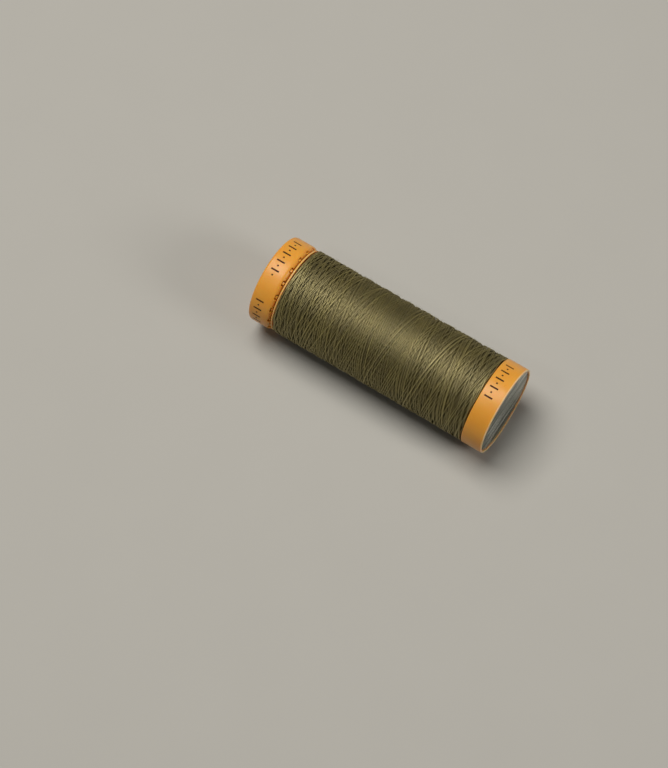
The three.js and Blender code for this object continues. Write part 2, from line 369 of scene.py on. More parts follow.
spigot_end, plain_face, ring_radius = ends_and_radius("plain_end_cap")
label_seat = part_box("plain_end_label")[0].x / MM
ring_inside = ring_radius - RING_WALL
end_wall_back = label_seat - END_WALL
spigot_radius = BORE_RADIUS - PRESS_CLEARANCE
plain_cap_outline = [
    (plain_flange_start, ring_inside, 0.1), (plain_flange_start, ring_radius, 0.2),
    (plain_face, ring_radius, 0.3), (plain_face, ring_radius - LABEL_RIM, 0.2),
    (label_seat, ring_radius - LABEL_RIM, 0.04),
    (label_seat, PIN_HOLE_RADIUS, 0.2), (spigot_end, PIN_HOLE_RADIUS, 0.3),
    (spigot_end, spigot_radius, 0.4), (end_wall_back, spigot_radius, 0.3),
    (end_wall_back, ring_inside, 0.3)]
# the cap's rim carries a painted highlight in pale patches
plain_cap = as_piece("plain_cap_moulding", turned(rounded(plain_cap_outline, 6)),
                     amber_plastic("amber_plain_cap", rim_highlight_from=plain_face - RIM_HIGHLIGHT_INSET))
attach(plain_cap, "spool")
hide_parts("plain_end_cap")


# ---------------------------------------------------------------------------
# Ring ink: dark brown pad printing round both rings, an even border of bars and dots in
# turn. The ink lies about a hundredth of a millimetre proud of the plastic.
# ---------------------------------------------------------------------------
INK_STROKE = 0.36
INK_LIFT = 0.012
MARK_HEIGHT = 1.9
MARK_PITCH = 1.15
STROKE_STEP = 0.3
FACING_ANGLE = 110.8
PLAIN_INK_RUNS = ((-56, 0),)
PLAIN_INK_INSET = 0.85


def ramp(tree, value, first, last, *between):
    """A colour that runs through stops, each of a value and a colour, as the value rises."""
    node = add_node(tree, "ShaderNodeValToRGB", {"Fac": value})
    elements = node.color_ramp.elements
    elements[0].position, elements[0].color = first
    elements[1].position, elements[1].color = last
    for position, colour in between:
        elements.new(position).color = colour
    return node.outputs["Color"]


def brown_ink():
    """Pad-printed ink, matt, thinner in patches so that the amber warms it."""
    material, tree, place = new_material("brown_ink")
    colour = ramp(tree, noise(tree, place, 900.0, 5.0), (0.42, (0.030, 0.008, 0.003, 1)),
                  (0.72, (0.12, 0.035, 0.008, 1)))
    surface(tree, {"Base Color": colour, "Roughness": 0.7, "Specular IOR Level": 0.2})
    return material


def ink_stroke(shape, middle_angle, foot, start, end):
    """One straight stroke laid on a ring: start and end are (round, along) from a mark's foot."""
    start, end = Vector(start), Vector(end)
    side = (end - start).orthogonal().normalized() * INK_STROKE / 2
    steps = max(2, math.ceil((end - start).length / STROKE_STEP))
    rows = []
    for k in range(steps + 1):
        point = start.lerp(end, k / steps)
        row = []
        for edge, lift in ((side, -INK_LIFT), (side, INK_LIFT), (-side, INK_LIFT), (-side, -INK_LIFT)):
            around, along = point + edge
            angle = middle_angle + around / ring_radius
            radius = (ring_radius + lift) * MM
            row.append(shape.verts.new(((foot + along) * MM, radius * math.cos(angle),
                                        AXIS_HEIGHT + radius * math.sin(angle))))
        rows.append(row)
    for here, there in zip(rows, rows[1:]):
        for i in range(4):
            shape.faces.new((here[i], here[(i + 1) % 4], there[(i + 1) % 4], there[i]))
    shape.faces.new(rows[0])
    shape.faces.new(rows[-1])


def ink_border(name, runs, foot):
    """A border of bars and dots in turn; each run spans two angles off the facing side."""
    shape = bmesh.new()
    bar = (0, 0), (0, MARK_HEIGHT)
    dot = (-INK_STROKE / 2, MARK_HEIGHT / 2), (INK_STROKE / 2, MARK_HEIGHT / 2)
    step = math.degrees(MARK_PITCH / ring_radius)
    for start, end in runs:
        for i in range(int((end - start) / step) + 1):
            middle_angle = math.radians(FACING_ANGLE + start + i * step)
            ink_stroke(shape, middle_angle, foot, *(dot if i % 2 else bar))
    bmesh.ops.recalc_face_normals(shape, faces=shape.faces)
    return as_piece(name, shape, brown_ink())


plain_ring_ink = ink_border("plain_ring_ink", PLAIN_INK_RUNS, plain_flange_start + PLAIN_INK_INSET)
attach(plain_ring_ink, "spool")


# ---------------------------------------------------------------------------
# Plain end label: a disc of silver-grey printed foil glued into the cap's recess. It is
# creased and pressed a little over the pin hole beneath it.
# ---------------------------------------------------------------------------
LABEL_RINGS = 60
LABEL_SIDES = 160
LABEL_SLANT = math.radians(7)
LABEL_RELIEF = 0.065
LABEL_DIMPLE = 0.032
LABEL_DIMPLE_SLOPE = 0.7
LABEL_DEEPEST = 0.07
LABEL_FLAT_EDGE = 0.6


def label_foil():
    """Foil, brushed silver-grey, with painted reflections in its colour: bright lines along the creases and
    darker greener patches.
    """
    material, tree, place = new_material("label_foil")
    slant = add_node(tree, "ShaderNodeMapping", {"Vector": place, "Rotation": (LABEL_SLANT, 0, 0),
                     "Scale": (1.0, 0.07, 1.0)}).outputs["Vector"]
    streaks = noise(tree, slant, 1000.0, 6.0, 0.68)
    # painted reflections: dark grey-green foil with bright streaks where the creases would catch light
    reflection_streak_tone = ramp(tree, streaks, (0.42, (0.045, 0.050, 0.036, 1)), (0.66, (0.85, 0.87, 0.80, 1)))
    # darker greener patches, a painted reflection of green surroundings
    reflection_patches = remap(tree, noise(tree, place, 130.0, 3.0), 0.3, 0.7, 0.0, 0.6)
    bump = add_node(tree, "ShaderNodeBump", {"Height": streaks, "Strength": 0.6, "Distance": 0.00005})
    surface(tree, {
        "Base Color": blend(tree, reflection_patches, reflection_streak_tone, (0.13, 0.155, 0.11, 1)), "Metallic": 0.75,
        "Roughness": remap(tree, streaks, 0.35, 0.65, 0.42, 0.22), "Normal": bump.outputs["Normal"]})
    return material


def label_height(radius, angle):
    """How far the foil's face stands out of its plane, in millimetres."""
    y, z = radius * math.cos(angle), radius * math.sin(angle)
    across = z * math.cos(LABEL_SLANT) - y * math.sin(LABEL_SLANT)
    creases = 0.5 * math.sin(2.1 * across + 0.8 * math.sin(0.5 * y))
    creases += 0.3 * math.sin(4.7 * across + 0.6 * y)
    over_hole = min(1.0, max(0.0, PIN_HOLE_RADIUS + 0.3 - radius) / LABEL_DIMPLE_SLOPE)
    return max(-LABEL_DEEPEST, LABEL_RELIEF * creases - LABEL_DIMPLE * over_hole)


label_back, label_front, label_radius = ends_and_radius("plain_end_label")
label_shape = bmesh.new()
for face_x, relief in ((label_front, 1.0), (label_back, 0.0)):
    centre = label_shape.verts.new((face_x * MM, 0, AXIS_HEIGHT))
    previous = None
    for ring in range(1, LABEL_RINGS + 1):
        radius = label_radius * ring / LABEL_RINGS
        eased = relief * min(1.0, (label_radius - radius) / LABEL_FLAT_EDGE)
        row = []
        for side in range(LABEL_SIDES):
            angle = 2 * math.pi * side / LABEL_SIDES
            row.append(label_shape.verts.new(((face_x + eased * label_height(radius, angle)) * MM,
                                              radius * MM * math.cos(angle),
                                              AXIS_HEIGHT + radius * MM * math.sin(angle))))
        for side in range(LABEL_SIDES):
            after = (side + 1) % LABEL_SIDES
            if previous is None:
                label_shape.faces.new((centre, row[side], row[after]))
            else:
                label_shape.faces.new((previous[side], row[side], row[after], previous[after]))
        previous = row
bmesh.ops.bridge_loops(label_shape, edges=[e for e in label_shape.edges if e.is_boundary])
bmesh.ops.recalc_face_normals(label_shape, faces=label_shape.faces)
label = as_piece("foil_label", label_shape, label_foil())
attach(label, "spool")
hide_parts("plain_end_label")


# ---------------------------------------------------------------------------
# Thread winding: one length of three-ply olive thread, taken to be cotton, cross-wound in
# slanting passes that reverse at the flanges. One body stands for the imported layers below;
# the outer passes lie on it as separate strands, each taut over the ones laid before it.
# ---------------------------------------------------------------------------
THREAD_RADIUS = 0.105
THREAD_SQUASH = 0.75
PLIES = 3.0
PLY_TWIST_LENGTH = 0.9
BODY_RADIUS = 9.2
BODY_EDGE_RADIUS = 9.0
BODY_INSIDE_RADIUS = CORE_RADIUS + 0.05
BODY_CUTS = 60
SWELL_LENGTH = 11.7
CLOSED_PASSES = 52
STRAY_PASSES = 4
UNDER_PASSES = 28  # the first ones laid, a piece of their own
TURNS_PER_DOUBLE_PASS = 9.5  # out to one flange and back
THREAD_PITCH = 0.222
PITCH_JITTER = 0.3
STRAY_JUMP = 0.382  # of a turn more, so that a stray pass leaves the others' slant
LAST_STRAND_NUMBER = CLOSED_PASSES + STRAY_PASSES
REVERSAL_SHARPNESS = 0.9995
REVERSAL_JITTER = 0.001
END_MARGIN = 0.13
END_SPREAD = 0.7
BROAD_FORM = 1.5
BROAD_FORM_LEFT = 0.2
MOST_PROUD = 0.13
LAY_STEP = 0.1
KEEP_EVERY = 12  # of the points laid
END_FROM_X = -20.2
END_FROM_ANGLE = -34
LAST_STRAND_BACK = (0, 290, 350, 1300)  # degrees back from where the thread's end leaves
LAST_STRAND_PITCH = (17.1, 13.5, 9.9)  # millimetres along per turn, between those angles
LAST_STRAND_SHADE = 0.9
CELL_ALONG = 0.05
THREAD_SIDES = 6
WINDING_SEED = 11

OLIVE = (0.056, 0.044, 0.008, 1)
OLIVE_PALE = (0.160, 0.134, 0.040, 1)
OLIVE_DARK = (0.014, 0.010, 0.003, 1)


def dip_at_ends(x, depth, reach):
    """How much lower the winding lies beside its two flanges, fading out along it."""
    edge = np.minimum(x - winding_start, winding_end - x)
    return depth * np.exp(-np.maximum(edge, 0) / reach)


def body_radius(x, angle):
    """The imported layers' radius: soft slanting swells, easing down beside the two flanges."""
    slant = 2 * math.pi / SWELL_LENGTH
    swell = 0.035 * np.sin(slant * x + angle) + 0.03 * np.sin(slant * x - angle + 1.3)
    taper = 0.04 * (winding_end - x) / (winding_end - winding_start)
    swell += 0.03 * np.sin(0.31 * x + 2 * angle) + taper
    return BODY_RADIUS + swell - dip_at_ends(x, 0.28, 0.5)


def taut(support, step, radius):
    """Heights of a taut thread over the points holding it up: straight from one to the next."""
    place = np.arange(len(support)) * step
    level = support - place ** 2 / (2 * radius)
    held = [0]
    for i in range(1, len(level)):
        while len(held) > 1:
            a, b = held[-2], held[-1]
            rise, next_rise = level[b] - level[a], level[i] - level[b]
            if rise * (place[i] - place[b]) > next_rise * (place[b] - place[a]):
                break
            held.pop()
        held.append(i)
    return np.interp(place, place[held], level[held]) + place ** 2 / (2 * radius)


def broad_form(field, reach_round, reach_along):
    """A height map with its fine relief smoothed away; it joins up round the axis."""
    padded = np.pad(field, ((reach_round, reach_round), (0, 0)), "wrap")
    padded = np.pad(padded, ((0, 0), (reach_along, reach_along)), "edge")
    for axis, reach in ((0, reach_round), (1, reach_along)):
        weights = np.hanning(2 * reach + 3)[1:-1]
        padded = np.apply_along_axis(np.convolve, axis, padded, weights / weights.sum(), "valid")
    return padded


def wound_radius(x):
    """The finished winding's radius along the axis: even, a little lower beside the flanges."""
    return winding_radius - 0.02 - dip_at_ends(x, 0.22, 0.45)


def lay_thread():
    """Lays the passes one after another on a height map. Gives rows of x, angle, radius, shade
    and the pass's number."""
    draw = np.random.default_rng(WINDING_SEED)
    length = winding_end - winding_start
    middle = (winding_start + winding_end) / 2
    cells_along = int(length / CELL_ALONG) + 1
    cells_round = int(2 * math.pi * BODY_RADIUS / LAY_STEP)
    grid_x = winding_start + np.arange(cells_along) * CELL_ALONG
    grid_angle = np.arange(cells_round) * 2 * math.pi / cells_round
    height = body_radius(grid_x[None, :], grid_angle[:, None])
    samples = int(TURNS_PER_DOUBLE_PASS * cells_round)
    reach = int(THREAD_RADIUS / CELL_ALONG)
    offsets = np.arange(-reach, reach + 1)
    bulge = THREAD_SQUASH * np.sqrt(np.maximum(THREAD_RADIUS ** 2 - (offsets * CELL_ALONG) ** 2, 0))
    start_angle, last_height, rows = 0.0, None, []
    side_step = THREAD_PITCH * TURNS_PER_DOUBLE_PASS / (2 * length)

    def last_strand():
        """The strand that runs on to the thread's end: steep at first, then like the others."""
        x = [END_FROM_X]
        for pitch, start, end in zip(LAST_STRAND_PITCH, LAST_STRAND_BACK, LAST_STRAND_BACK[1:]):
            x.append(x[-1] + pitch * (end - start) / 360)
        back = np.arange(0, LAST_STRAND_BACK[-1], 360 / cells_round)
        return (np.minimum(np.interp(back, LAST_STRAND_BACK, x), winding_end - END_MARGIN),
                np.radians(END_FROM_ANGLE - back))

    def cells(x, angle):
        """The height map's cells that a strand covers at each of its points."""
        column = ((x - winding_start) / CELL_ALONG).round().astype(int)
        row = (angle[:, None] / (2 * math.pi) * cells_round).round().astype(int) % cells_round
        return row, np.clip(column, reach, cells_along - 1 - reach)[:, None] + offsets[None, :]

    for number in range(CLOSED_PASSES + STRAY_PASSES):
        turns = TURNS_PER_DOUBLE_PASS + side_step * (1 + draw.normal(0, PITCH_JITTER))
        if number >= CLOSED_PASSES:
            turns += STRAY_JUMP
        swing = REVERSAL_SHARPNESS - REVERSAL_JITTER * draw.random()
        half = length / 2 - END_MARGIN - END_SPREAD * draw.random() ** 2
        phase = np.arange(samples) / samples * 2 * math.pi
        x = middle + half * np.arcsin(swing * np.cos(phase)) / math.asin(swing)
        x = np.clip(x, winding_start + END_MARGIN, winding_end - END_MARGIN)
        angle = start_angle + turns * phase
        # a random brightness per pass: painted light and shade for strands that catch the light or lie in
        # shadow
        shade = draw.random()
        for part in (slice(0, samples // 2), slice(samples // 2, samples)):
            spot = cells(x[part], angle[part])
            support = (height[spot] + bulge[None, :]).max(axis=1)
            if last_height is not None:
                support[0] = max(support[0], last_height)
            centre = taut(support, LAY_STEP, BODY_RADIUS)
            last_height = centre[-1]
            np.maximum.at(height, spot, centre[:, None] + bulge[None, :])
            rows.append(np.stack([x[part], angle[part], centre, np.full(len(centre), shade),
                                  np.full(len(centre), number)])[:, ::KEEP_EVERY])
        start_angle += turns * 2 * math.pi

    x, angle = last_strand()
    centre = taut((height[cells(x, angle)] + bulge[None, :]).max(axis=1), LAY_STEP, BODY_RADIUS)
    rows.append(np.stack([x, angle, centre, np.full(len(x), LAST_STRAND_SHADE),
                          np.full(len(x), LAST_STRAND_NUMBER)])[:, ::KEEP_EVERY])

    laid = np.concatenate(rows, axis=1)
    form = broad_form(height, round(BROAD_FORM / LAY_STEP), round(BROAD_FORM / CELL_ALONG))
    row, column = cells(laid[0], laid[1])
    here = form[row[:, 0], column[:, reach]]
    laid[2] -= (here - wound_radius(laid[0])) - BROAD_FORM_LEFT * (here - form.mean())
    ease = winding_radius - 0.03
    proud = np.maximum(laid[2] - ease, 0)
    laid[2] = np.minimum(laid[2], ease) + MOST_PROUD * np.tanh(proud / MOST_PROUD)
    return laid


def cotton_thread(name, twisted=True):
    """Mercerised cotton: olive with a soft sheen, and painted light and shade: paler on the plies' crowns,
    darker in the grooves between them, a random brightness per strand.
    """
    material, tree, place = new_material(name)
    patches = noise(tree, place, 320.0, 3.0)
    if twisted:
        side = add_node(tree, "ShaderNodeAttribute", attribute_name="side").outputs["Vector"]
        side = add_node(tree, "ShaderNodeSeparateXYZ", {"Vector": side})
        around = maths(tree, "ARCTAN2", side.outputs["Y"], side.outputs["X"])
        along = add_node(tree, "ShaderNodeAttribute", attribute_name="along").outputs["Fac"]
        turns = maths(tree, "MULTIPLY", along, 2 * math.pi / (PLY_TWIST_LENGTH * MM))
        wave = maths(tree, "SINE", maths(tree, "MULTIPLY_ADD", around, PLIES, turns))
        shade = add_node(tree, "ShaderNodeAttribute", attribute_name="shade").outputs["Fac"]
    else:
        wave = add_node(tree, "ShaderNodeTexWave", {
            "Vector": place, "Scale": 700.0, "Distortion": 2.0, "Detail": 2.0, "Detail Scale": 3.0},
            bands_direction="X").outputs["Fac"]
        shade = patches
    # painted light and shade: ply crowns paler, the grooves between plies darker, and each strand's shade a
    # painted brightness
    crown = remap(tree, wave, -1.0, 1.0, -0.2, 0.06)
    tone = maths(tree, "MULTIPLY_ADD", shade, 0.55, maths(tree, "MULTIPLY_ADD", patches, 0.7, crown))
    colour = ramp(tree, tone, (0.15, OLIVE_DARK), (1.0, OLIVE_PALE), (0.6, OLIVE))
    relief = maths(tree, "MULTIPLY_ADD", noise(tree, place, 9000.0, 3.0), 0.8, wave)
    bump = add_node(tree, "ShaderNodeBump", {"Height": relief, "Strength": 0.4, "Distance": 0.00001})
    surface(tree, {
        "Base Color": colour, "Roughness": 0.55, "Normal": bump.outputs["Normal"], "IOR": 2.2,
        "Specular IOR Level": 1.0, "Specular Tint": (1.0, 0.88, 0.47, 1)})
    return material


def made_by_nodes(name, start_mesh, tree, values):
    """Runs a node tree on a mesh and keeps its result as a plain mesh object."""
    piece = bpy.data.objects.new(name, start_mesh)
    bpy.context.scene.collection.objects.link(piece)
    modifier = piece.modifiers.new("build", "NODES")
    modifier.node_group = tree
    for item in tree.interface.items_tree:
        if item.in_out == "INPUT" and item.name in values:
            modifier[item.identifier] = values[item.name]
    bpy.context.view_layer.update()
    evaluated = piece.evaluated_get(bpy.context.evaluated_depsgraph_get())
    finished = bpy.data.meshes.new_from_object(evaluated)
    piece.modifiers.clear()
    piece.data = finished
    finished.name = name
    return piece


def new_tree(name, inputs):
    """A geometry node tree with a geometry in and out and named inputs for its sizes."""
    tree = bpy.data.node_groups.new(name, "GeometryNodeTree")
    tree.interface.new_socket("Geometry", in_out="INPUT", socket_type="NodeSocketGeometry")
    tree.interface.new_socket("Geometry", in_out="OUTPUT", socket_type="NodeSocketGeometry")
    for label_text, kind in inputs:
        tree.interface.new_socket(label_text, in_out="INPUT", socket_type="NodeSocket" + kind)
    return tree, tree.nodes.new("NodeGroupInput").outputs, tree.nodes.new("NodeGroupOutput")


def finish_tree(tree, out, geometry, material_socket):
    """Ends a tree: instances made real, then the material set."""
    real = add_node(tree, "GeometryNodeRealizeInstances", {"Geometry": geometry})
    painted = add_node(tree, "GeometryNodeSetMaterial", {"Geometry": real.outputs["Geometry"],
                       "Material": material_socket})
    tree.links.new(painted.outputs["Geometry"], out.inputs["Geometry"])


def thread_tree():
    """Sweeps a round thread along a path and stores what its twist is drawn from."""
    tree, given, out = new_tree("round_thread", [
        ("Radius", "Float"), ("Sides", "Int"), ("Material", "Material")])
    path = add_node(tree, "GeometryNodeMeshToCurve", {"Mesh": given["Geometry"]})
    spline = add_node(tree, "GeometryNodeSplineParameter")
    measured = add_node(tree, "GeometryNodeStoreNamedAttribute", {
        "Geometry": path.outputs["Curve"], "Name": "along", "Value": spline.outputs["Length"]},
        data_type="FLOAT", domain="POINT")
    circle = add_node(tree, "GeometryNodeCurvePrimitiveCircle", {"Resolution": given["Sides"],
                      "Radius": given["Radius"]})
    position = add_node(tree, "GeometryNodeInputPosition").outputs["Position"]
    outward = add_node(tree, "ShaderNodeVectorMath", {0: position}, operation="NORMALIZE")
    sided = add_node(tree, "GeometryNodeStoreNamedAttribute", {
        "Geometry": circle.outputs["Curve"], "Name": "side", "Value": outward.outputs["Vector"]},
        data_type="FLOAT_VECTOR", domain="POINT")
    swept = add_node(tree, "GeometryNodeCurveToMesh", {"Curve": measured.outputs["Geometry"],
                     "Profile Curve": sided.outputs["Geometry"], "Fill Caps": True})
    smooth = add_node(tree, "GeometryNodeSetShadeSmooth", {"Geometry": swept.outputs["Mesh"]})
    finish_tree(tree, out, smooth.outputs["Geometry"], given["Material"])
    return tree


def path_mesh(name, x, angle, radius, shade):
    """A bare line of points round the axis, each with its shade, for the thread to follow."""
    mesh = bpy.data.meshes.new(name)
    points = np.stack([x * MM, radius * MM * np.cos(angle),
                       AXIS_HEIGHT + radius * MM * np.sin(angle)], axis=1)
    mesh.from_pydata(points.tolist(), [(i, i + 1) for i in range(len(points) - 1)], [])
    shades = mesh.attributes.new("shade", "FLOAT", "POINT")
    shades.data.foreach_set("value", np.asarray(shade, np.float32))
    return mesh


body_shape = turned(rounded([
    (winding_start, BODY_INSIDE_RADIUS, 0), (winding_start, BODY_EDGE_RADIUS, 0.2),
    (winding_end, BODY_EDGE_RADIUS, 0.2), (winding_end, BODY_INSIDE_RADIUS, 0)]))
lengthwise = [edge for edge in body_shape.edges
              if abs(edge.verts[0].co.x - edge.verts[1].co.x) > 20 * MM]
bmesh.ops.subdivide_edges(body_shape, edges=lengthwise, cuts=BODY_CUTS, use_grid_fill=True)
for vertex in body_shape.verts:
    radial = Vector((0, vertex.co.y, vertex.co.z - AXIS_HEIGHT))
    if radial.length > (BODY_RADIUS - 1) * MM:
        wanted = float(body_radius(vertex.co.x / MM, math.atan2(radial.z, radial.y))) - 0.02
        vertex.co += radial.normalized() * (wanted * MM - radial.length)
winding_body = as_piece("winding_body", body_shape, cotton_thread("packed_thread", twisted=False))
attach(winding_body, "spool")
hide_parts("thread_winding")

laid = lay_thread()
round_thread = thread_tree()
thread_material = cotton_thread("cotton_thread")
for layer_name, chosen in (
        ("under_passes", laid[4] < UNDER_PASSES),
        ("outer_passes", (laid[4] >= UNDER_PASSES) & (laid[4] < LAST_STRAND_NUMBER)),
        ("last_strand", laid[4] == LAST_STRAND_NUMBER)):
    x, angle, radius, shade = laid[:4, chosen]
    layer = made_by_nodes(layer_name, path_mesh(layer_name, x, angle, radius, shade), round_thread, {
        "Radius": THREAD_RADIUS * MM, "Sides": THREAD_SIDES, "Material": thread_material})
    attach(layer, "spool")


# ---------------------------------------------------------------------------
# Snap cap: the third amber moulding. A wide ring whose shoulder rounds down to a crown of
# teeth, an end wall with six ribs round the pin hole, and a slotted sleeve with barbs.
# ---------------------------------------------------------------------------
SNAP_RING_WIDTH = 4.15
CROWN_RADIUS = 8.95
NIP = 0.26
TEETH = 18
TOOTH_WIDTH = 0.7
TOOTH_LENGTH = 0.5
TOOTH_ROOT = 0.25
TOOTH_SETBACK = 0.12
TOOTH_TOP_RADIUS = 9.4
TOOTH_FIRST_ANGLE = math.radians(13)
POCKET_WIDTH = 1.3
POCKET_FLOOR_RADIUS = 8.6
CROWN_LIP = 0.2
CROWN_LIP_SLOPE = 0.8
FACE_WALL = 1.2
FACE_WALL_CLEARANCE = 0.3
FACE_RECESS_DEPTH = 0.45
FACE_RECESS_RADII = (5.6, 8.8)
FACE_RIBS = 6
FACE_RIB_HEIGHT = 0.65
FACE_RIB_WIDTH = 0.7
FACE_RIB_ROOT = 0.3
SLEEVE_RADIUS = 5.1
SLEEVE_BARB = 0.2
SLEEVE_SLOTS = 4
SLEEVE_SLOT_START = -21.2
SLEEVE_SLOT_WIDTH = 1.4
SNAP_INK_RUNS = ((-60, 0), (36, 76))
SNAP_INK_INSET = 1.15


def crown_tree():
    """Cuts a turned cap's pockets and sleeve slots, stands a tooth in each pocket, adds the ribs."""
    tree, given, out = new_tree("crown_and_ribs", [
        ("Teeth", "Int"), ("First Angle", "Float"), ("Pocket Size", "Vector"), ("Pocket Place", "Vector"),
        ("Slots", "Int"), ("Slot Size", "Vector"), ("Slot Place", "Vector"), ("Slot Angle", "Float"),
        ("Tooth Size", "Vector"), ("Tooth Place", "Vector"), ("Ribs", "Int"), ("Rib Size", "Vector"),
        ("Rib Place", "Vector"), ("Axis", "Vector"), ("Material", "Material")])

    def ring_of_blocks(count, first, size, place, rounding):
        """Like blocks stood evenly round the axis, the first at an angle from +Y."""
        cube = add_node(tree, "GeometryNodeMeshCube", {"Size": size})
        eased = add_node(tree, "GeometryNodeSubdivisionSurface", {"Mesh": cube.outputs["Mesh"],
                         "Level": rounding, "Edge Crease": 0.7})
        stood = add_node(tree, "GeometryNodeTransform", {"Geometry": eased.outputs["Mesh"],
                         "Translation": place})
        points = add_node(tree, "GeometryNodePoints", {"Count": count, "Position": given["Axis"]})
        index = add_node(tree, "GeometryNodeInputIndex").outputs["Index"]
        turn = maths(tree, "MULTIPLY_ADD", index, maths(tree, "DIVIDE", 2 * math.pi, count), first)
        euler = add_node(tree, "ShaderNodeCombineXYZ", {"X": turn})
        turned_to = add_node(tree, "FunctionNodeEulerToRotation", {"Euler": euler.outputs["Vector"]})
        placed = add_node(tree, "GeometryNodeInstanceOnPoints", {"Points": points.outputs["Points"],
                          "Instance": stood.outputs["Geometry"], "Rotation": turned_to.outputs["Rotation"]})
        real = add_node(tree, "GeometryNodeRealizeInstances", {"Geometry": placed.outputs["Instances"]})
        return real.outputs["Geometry"]

    pockets = ring_of_blocks(given["Teeth"], given["First Angle"], given["Pocket Size"],
                             given["Pocket Place"], 2)
    slots = ring_of_blocks(given["Slots"], given["Slot Angle"], given["Slot Size"],
                           given["Slot Place"], 0)
    notched = add_node(tree, "GeometryNodeMeshBoolean", {"Mesh 1": given["Geometry"], "Mesh 2": pockets},
                       operation="DIFFERENCE", solver="EXACT")
    tree.links.new(slots, notched.inputs["Mesh 2"])
    teeth = ring_of_blocks(given["Teeth"], given["First Angle"], given["Tooth Size"],
                           given["Tooth Place"], 2)
    half_step = maths(tree, "DIVIDE", math.pi, given["Ribs"])
    ribs = ring_of_blocks(given["Ribs"], half_step, given["Rib Size"], given["Rib Place"], 0)
    toothed = add_node(tree, "GeometryNodeMeshBoolean", {"Mesh 2": notched.outputs["Mesh"]},
                       operation="UNION", solver="EXACT")
    tree.links.new(teeth, toothed.inputs["Mesh 2"])
    tree.links.new(ribs, toothed.inputs["Mesh 2"])
    finish_tree(tree, out, toothed.outputs["Mesh"], given["Material"])
    return tree


snap_face, sleeve_end, snap_ring_radius = ends_and_radius("snap_cap")
crown_end = core_start - NIP
snap_ring_end = snap_face + SNAP_RING_WIDTH
crown_wall = CROWN_RADIUS - RING_WALL
recess_floor = snap_face + FACE_RECESS_DEPTH
recess_inner, recess_outer = FACE_RECESS_RADII
wall_back = recess_floor + FACE_WALL
wall_inside = ring_inside - FACE_WALL_CLEARANCE
barb_radius = SLEEVE_RADIUS + SLEEVE_BARB
shoulder = [(snap_ring_end + (crown_end - snap_ring_end) * math.sin(t),
             CROWN_RADIUS + (snap_ring_radius - CROWN_RADIUS) * math.cos(t), 0)
            for t in np.linspace(0, math.pi / 2, 10)]
snap_outline = [
    (snap_face, PIN_HOLE_RADIUS, 0.3), (snap_face, recess_inner, 0.15),
    (recess_floor, recess_inner, 0.1), (recess_floor, recess_outer, 0.1),
    (snap_face, recess_outer, 0.15), (snap_face, snap_ring_radius, 0.5), *shoulder,
    (crown_end, crown_wall, 0.05), (snap_ring_end - CROWN_LIP, crown_wall, 0.1),
    (snap_ring_end - CROWN_LIP_SLOPE, wall_inside, 0.1), (wall_back, wall_inside, 0.3),
    (wall_back, SLEEVE_RADIUS, 0.3), (sleeve_end - 1, SLEEVE_RADIUS, 0.1),
    (sleeve_end - 0.8, barb_radius, 0.1), (sleeve_end - 0.4, barb_radius, 0.1),
    (sleeve_end, SLEEVE_RADIUS - SLEEVE_BARB, 0.1), (sleeve_end, PIN_HOLE_RADIUS, 0.2)]
snap_body = as_piece("snap_cap_turned", turned(rounded(snap_outline)), amber_plastic("amber_snap_cap"))
tooth_middle = crown_end - TOOTH_LENGTH / 2
tooth_foot = crown_wall + 0.1
pocket_radii = (POCKET_FLOOR_RADIUS, snap_ring_radius)
rib_radii = (recess_inner - FACE_RIB_ROOT, recess_outer + FACE_RIB_ROOT)
slot_span = (SLEEVE_SLOT_START, sleeve_end + 1)
slot_radii = (PIN_HOLE_RADIUS - 0.6, SLEEVE_RADIUS + 0.5)
snap_cap = made_by_nodes("snap_cap_moulding", snap_body.data, crown_tree(), {
    "Teeth": TEETH, "First Angle": TOOTH_FIRST_ANGLE,
    "Pocket Size": Vector((TOOTH_LENGTH + NIP, pocket_radii[1] - pocket_radii[0], POCKET_WIDTH)) * MM,
    "Pocket Place": Vector((tooth_middle + NIP / 2, sum(pocket_radii) / 2, 0)) * MM,
    "Tooth Size": Vector((TOOTH_LENGTH + TOOTH_ROOT, TOOTH_TOP_RADIUS - tooth_foot, TOOTH_WIDTH)) * MM,
    "Tooth Place": Vector((tooth_middle - TOOTH_SETBACK, (TOOTH_TOP_RADIUS + tooth_foot) / 2, 0)) * MM,
    "Slots": SLEEVE_SLOTS, "Slot Angle": 0.0,
    "Slot Size": Vector((slot_span[1] - slot_span[0], slot_radii[1] - slot_radii[0],
                         SLEEVE_SLOT_WIDTH)) * MM,
    "Slot Place": Vector((sum(slot_span) / 2, sum(slot_radii) / 2, 0)) * MM,
    "Ribs": FACE_RIBS,
    "Rib Size": Vector((FACE_RIB_HEIGHT, rib_radii[1] - rib_radii[0], FACE_RIB_WIDTH)) * MM,
    "Rib Place": Vector((recess_floor - 0.02, sum(rib_radii) / 2, 0)) * MM,
    "Axis": Vector((0, 0, AXIS_HEIGHT)), "Material": snap_body.data.materials[0]})
bpy.data.objects.remove(snap_body)
shade_smooth(snap_cap.data)
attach(snap_cap, "snap_cap")
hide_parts("snap_cap")

snap_ring_ink = ink_border("snap_ring_ink", SNAP_INK_RUNS, snap_face + SNAP_INK_INSET)
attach(snap_ring_ink, "snap_cap")


# ---------------------------------------------------------------------------
# Thread end: the last of the same thread. It leaves the winding on the far side, crosses
# the clamp flange and is nipped between the flange and the crown, then cut off.
# ---------------------------------------------------------------------------
END_OVER_ANGLE = -12
END_LAST_ANGLE = 22
END_LIFT = 0.16
END_BELOW_TOOTH_TOP = 0.35
END_RADIUS = 0.1
END_SIDES = 10
END_SHADE = 0.7
END_POINTS_BETWEEN = 6
END_EASINGS = 6

